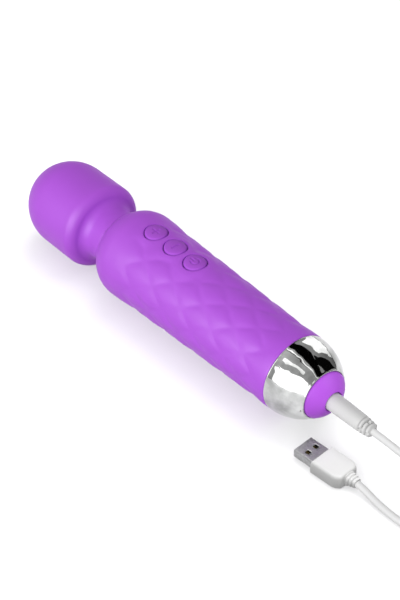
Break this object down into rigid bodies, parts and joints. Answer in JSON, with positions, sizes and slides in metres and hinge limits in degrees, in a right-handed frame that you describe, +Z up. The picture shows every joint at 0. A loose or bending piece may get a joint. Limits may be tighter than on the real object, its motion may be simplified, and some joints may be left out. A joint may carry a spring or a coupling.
{
  "type": "wand massager",
  "caption": "Handheld cordless wand massager: round vibrating head on a flexible neck, quilted tapered handle with press buttons, chrome tail ring, and a USB charging lead plugged into the tail.",
  "frame": {"origin": "on the table directly below the middle of the wand (its lowest point is z = 0), measured without the charging lead", "axes": "+X along the wand from the head towards the charging socket, +Z up through the buttons, +Y to the left when looking along +X"},
  "size_m": [0.3348, 0.0599, 0.0476],
  "materials": {
    "silicone": "satin, velvet-touch silicone",
    "hard_plastic": "fine moulded texture",
    "chrome": "mirror plated",
    "steel": "brushed",
    "brass": "satin",
    "board": "solder mask",
    "black_plastic": "moulded",
    "plunger": "moulded",
    "cell_wrap": "shrink wrap",
    "seal": "matt",
    "wire": "wire sheath",
    "led": "clear lens",
    "cable": "soft moulded PVC",
    "cable_tie": "hook-and-loop strap",
    "tongue": "moulded"
  },
  "bodies": {
    "handle": {"handle_skin": "silicone", "shell_upper": "hard_plastic", "shell_lower": "hard_plastic", "shell_screws": "steel", "neck_socket": "hard_plastic", "chrome_ring": "chrome", "tail_cap": "silicone", "tail_frame": "hard_plastic", "tail_seal": "seal", "charge_jack": "black_plastic", "jack_spring": "brass", "battery_cell": "cell_wrap", "battery_saddles": "seal", "battery_tabs": "steel", "control_board": "board", "board_components": "black_plastic", "switch_board": "board", "switch_bodies": "black_plastic", "status_led": "led", "handle_wires": "wire", "charge_pin": "steel", "charge_plug": "cable", "charge_relief": "cable", "cable_plug_run": "cable", "cable_coil": "cable", "cable_tie": "cable_tie", "cable_usb_run": "cable", "usb_relief": "cable", "usb_body": "cable", "usb_shell": "steel", "usb_tongue": "tongue", "usb_contacts": "brass"},
    "plus_button": {"button_plus": "silicone", "plunger_plus": "plunger"},
    "minus_button": {"button_minus": "silicone", "plunger_minus": "plunger"},
    "power_button": {"button_power": "silicone", "plunger_power": "plunger"},
    "neck": {"neck_sleeve": "silicone", "neck_spring": "steel", "neck_wires": "wire"},
    "head": {"head_skin": "silicone", "head_shell_rear": "hard_plastic", "head_shell_front": "hard_plastic", "neck_plug": "hard_plastic", "motor_can": "steel", "motor_bush": "brass", "motor_damper": "seal", "motor_bracket": "hard_plastic", "bracket_screws": "steel", "head_wires": "wire"},
    "rotor": {"motor_shaft": "steel", "eccentric_weight": "brass"}
  },
  "joints": [
    {"name": "neck_pitch", "type": "hinge", "parent": "handle", "child": "neck", "pos_m": [-0.0525, 0, 0.0238], "axis": [0, 1, 0], "range_deg": [-20, 20], "stiffness_Nm_per_rad": 3, "deforming": ["neck_sleeve", "neck_spring", "neck_wires"]},
    {"name": "neck_yaw", "type": "hinge", "parent": "neck", "child": "head", "pos_m": [-0.0525, 0, 0.0238], "axis": [0, 0, 1], "range_deg": [-20, 20], "stiffness_Nm_per_rad": 3, "deforming": ["neck_sleeve", "neck_spring", "neck_wires"]},
    {"name": "motor_spin", "type": "hinge", "parent": "head", "child": "rotor", "pos_m": [-0.095, 0, 0.0238], "axis": [1, 0, 0], "continuous": true},
    {"name": "press_plus", "type": "slide", "parent": "handle", "child": "plus_button", "axis": [0, 0, -1], "range_m": [0, 0.0006], "stiffness_N_per_m": 400, "springref_m": -0.0008},
    {"name": "press_minus", "type": "slide", "parent": "handle", "child": "minus_button", "axis": [0, 0, -1], "range_m": [0, 0.0006], "stiffness_N_per_m": 400, "springref_m": -0.0008},
    {"name": "press_power", "type": "slide", "parent": "handle", "child": "power_button", "axis": [0, 0, -1], "range_m": [0, 0.0006], "stiffness_N_per_m": 400, "springref_m": -0.0008}
  ]
}
